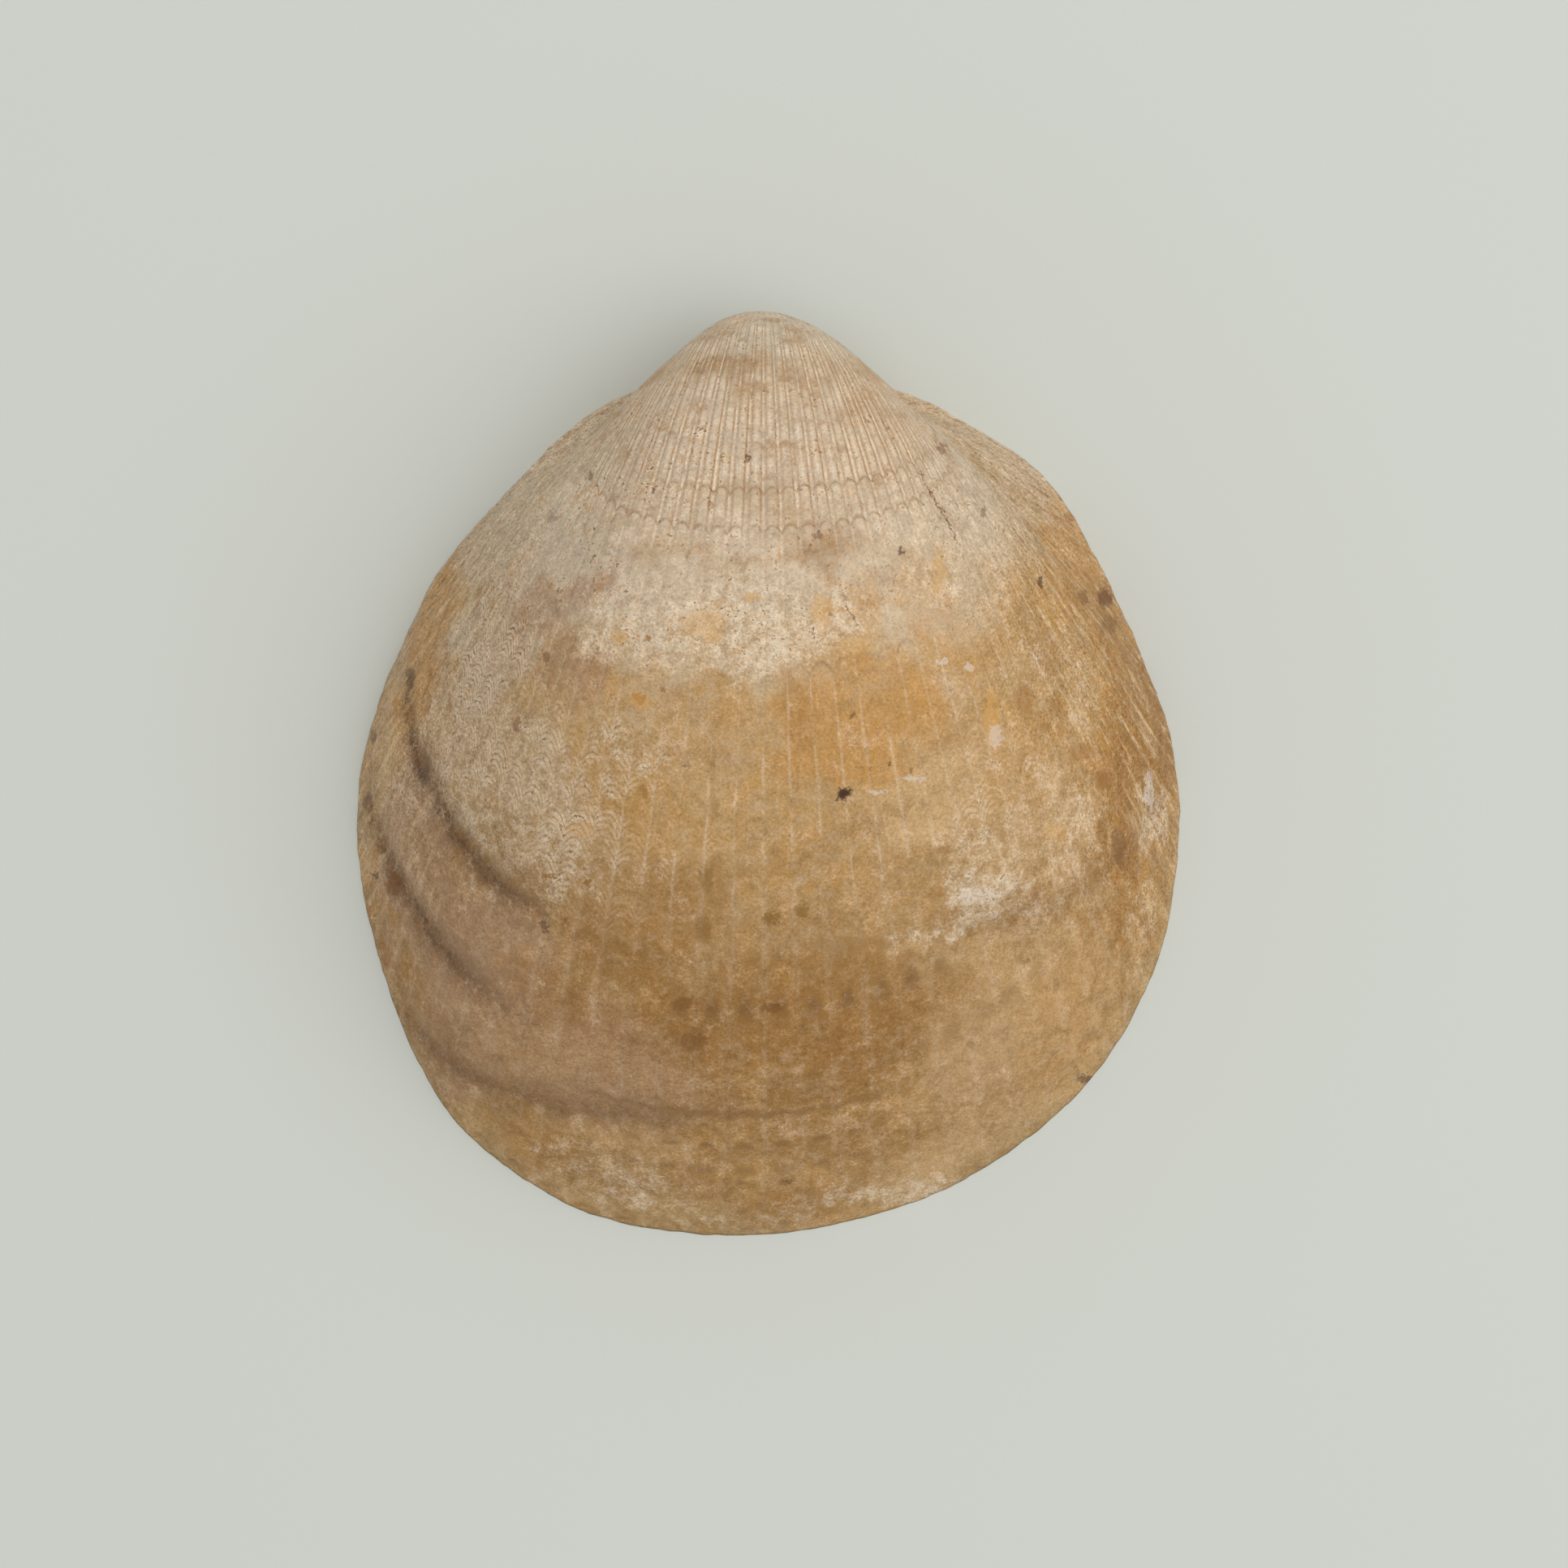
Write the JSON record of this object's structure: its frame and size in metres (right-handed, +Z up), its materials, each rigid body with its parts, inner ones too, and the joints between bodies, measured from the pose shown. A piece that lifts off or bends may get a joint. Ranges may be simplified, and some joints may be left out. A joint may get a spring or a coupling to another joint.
{
  "type": "clam shell",
  "caption": "Single worn clam valve with a rounded beak, fine flat ribs, growth lines and a hollow inside with a toothed hinge.",
  "frame": {"origin": "centre of the bounding box at the plane of the shell's margin, which it rests on", "axes": "+Z up out of the domed outside, +Y along the longest extent towards the beak"},
  "size_m": [0.0507, 0.0566, 0.0199],
  "materials": {
    "shell": "worn shell, satin tan and ochre with chalky cream patches"
  },
  "bodies": {
    "root": {"valve": "shell"}
  },
  "joints": []
}
